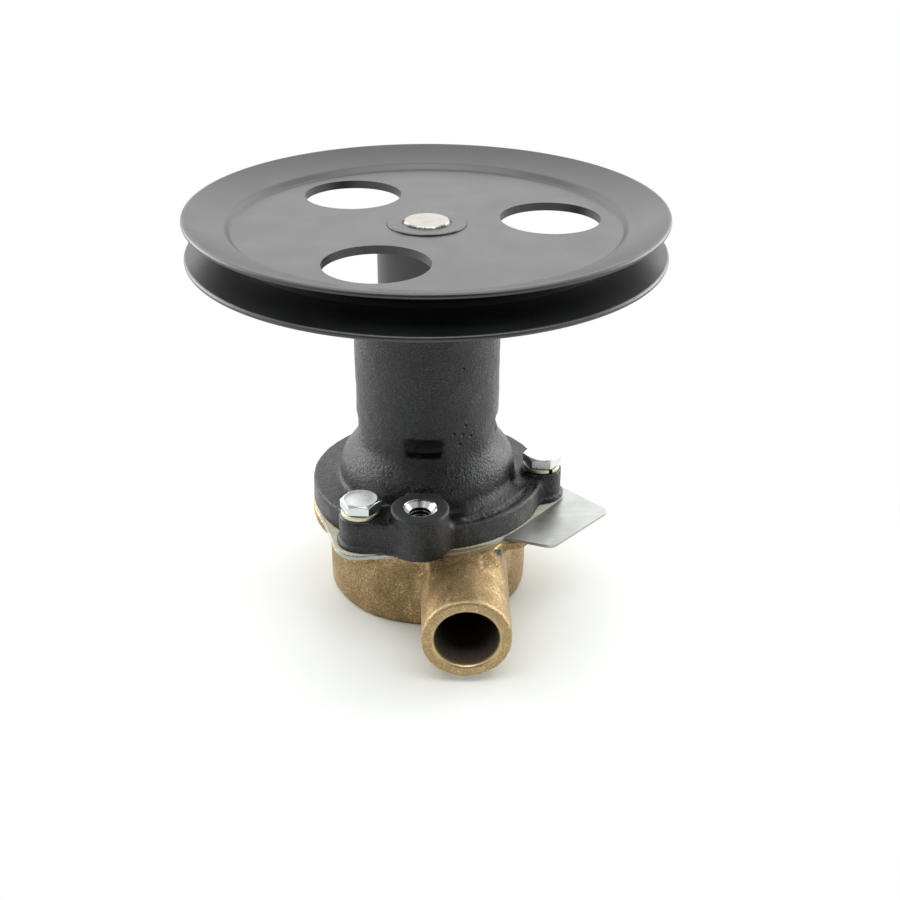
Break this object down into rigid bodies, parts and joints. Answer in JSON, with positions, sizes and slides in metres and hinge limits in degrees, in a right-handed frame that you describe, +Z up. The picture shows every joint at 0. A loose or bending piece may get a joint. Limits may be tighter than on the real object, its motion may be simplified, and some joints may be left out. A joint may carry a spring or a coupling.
{
  "type": "flexible impeller pump",
  "caption": "Belt-driven flexible impeller water pump: bronze body with two hose ports, stainless wear plate, cast iron bearing tower and a pressed steel V-belt pulley.",
  "frame": {"origin": "centre of the flat bottom of the pump body, on the shaft axis, where the pump rests", "axes": "+Z up along the shaft axis towards the pulley; the two hose ports lie along -Y and +Y; +X towards the ports' side and the plate's tab"},
  "size_m": [0.1696, 0.1696, 0.1511],
  "materials": {
    "cast_bronze": "sand cast, dull",
    "gasket_paper": "pressed fibre",
    "stainless_sheet": "rolled, satin",
    "painted_iron": "semi-gloss black on sand-cast iron",
    "zinc_bright": "bright zinc plate",
    "zinc_yellow": "pale yellow zinc plate",
    "black_rubber": "moulded",
    "brown_rubber": "moulded",
    "turned_brass": "turned",
    "ground_steel": "turned and ground",
    "spring_steel": "oiled",
    "white_ceramic": "lapped",
    "carbon": "lapped carbon",
    "stainless_wire": "drawn",
    "bearing_steel": "ground and polished",
    "nylon_cage": "moulded",
    "painted_steel": "satin black on pressed steel"
  },
  "bodies": {
    "root": {"pump_body": "cast_bronze", "body_gasket": "gasket_paper", "wear_plate": "stainless_sheet", "housing_gasket": "gasket_paper", "bearing_housing": "painted_iron", "flange_bolts": "zinc_bright", "spring_washers": "zinc_yellow", "housing_circlip": "spring_steel", "water_seal_boot": "black_rubber", "water_seal_seat": "white_ceramic", "oil_seal": "brown_rubber", "oil_seal_spring": "stainless_wire", "lower_bearing_outer": "bearing_steel", "lower_bearing_shields": "black_rubber", "upper_bearing_outer": "bearing_steel", "upper_bearing_shields": "black_rubber"},
    "rotor": {"pump_shaft": "ground_steel", "impeller": "black_rubber", "impeller_bush": "turned_brass", "impeller_key": "ground_steel", "shaft_circlip": "spring_steel", "seal_circlip": "spring_steel", "water_seal_face": "carbon", "water_seal_head": "black_rubber", "water_seal_spring": "stainless_wire", "seal_washer": "stainless_wire", "water_slinger": "black_rubber", "lower_bearing_inner": "bearing_steel", "upper_bearing_inner": "bearing_steel", "bearing_spacer": "ground_steel", "pulley_hub": "painted_steel", "pulley_upper_disc": "painted_steel", "pulley_lower_disc": "painted_steel"},
    "lower_balls": {"lower_bearing_balls": "bearing_steel", "lower_bearing_cage": "nylon_cage"},
    "upper_balls": {"upper_bearing_balls": "bearing_steel", "upper_bearing_cage": "nylon_cage"}
  },
  "joints": [
    {"name": "shaft_spin", "type": "hinge", "parent": "root", "child": "rotor", "pos_m": [0, 0, 0.1], "axis": [0, 0, 1], "continuous": true, "deforming": ["impeller"]},
    {"name": "lower_cage_spin", "type": "hinge", "parent": "root", "child": "lower_balls", "pos_m": [0, 0, 0.0857], "axis": [0, 0, 1], "continuous": true},
    {"name": "upper_cage_spin", "type": "hinge", "parent": "root", "child": "upper_balls", "pos_m": [0, 0, 0.1025], "axis": [0, 0, 1], "continuous": true}
  ],
  "couplings": [
    {"joint": "lower_cage_spin", "follows": "shaft_spin", "ratio": 0.3816},
    {"joint": "upper_cage_spin", "follows": "shaft_spin", "ratio": 0.3816}
  ]
}
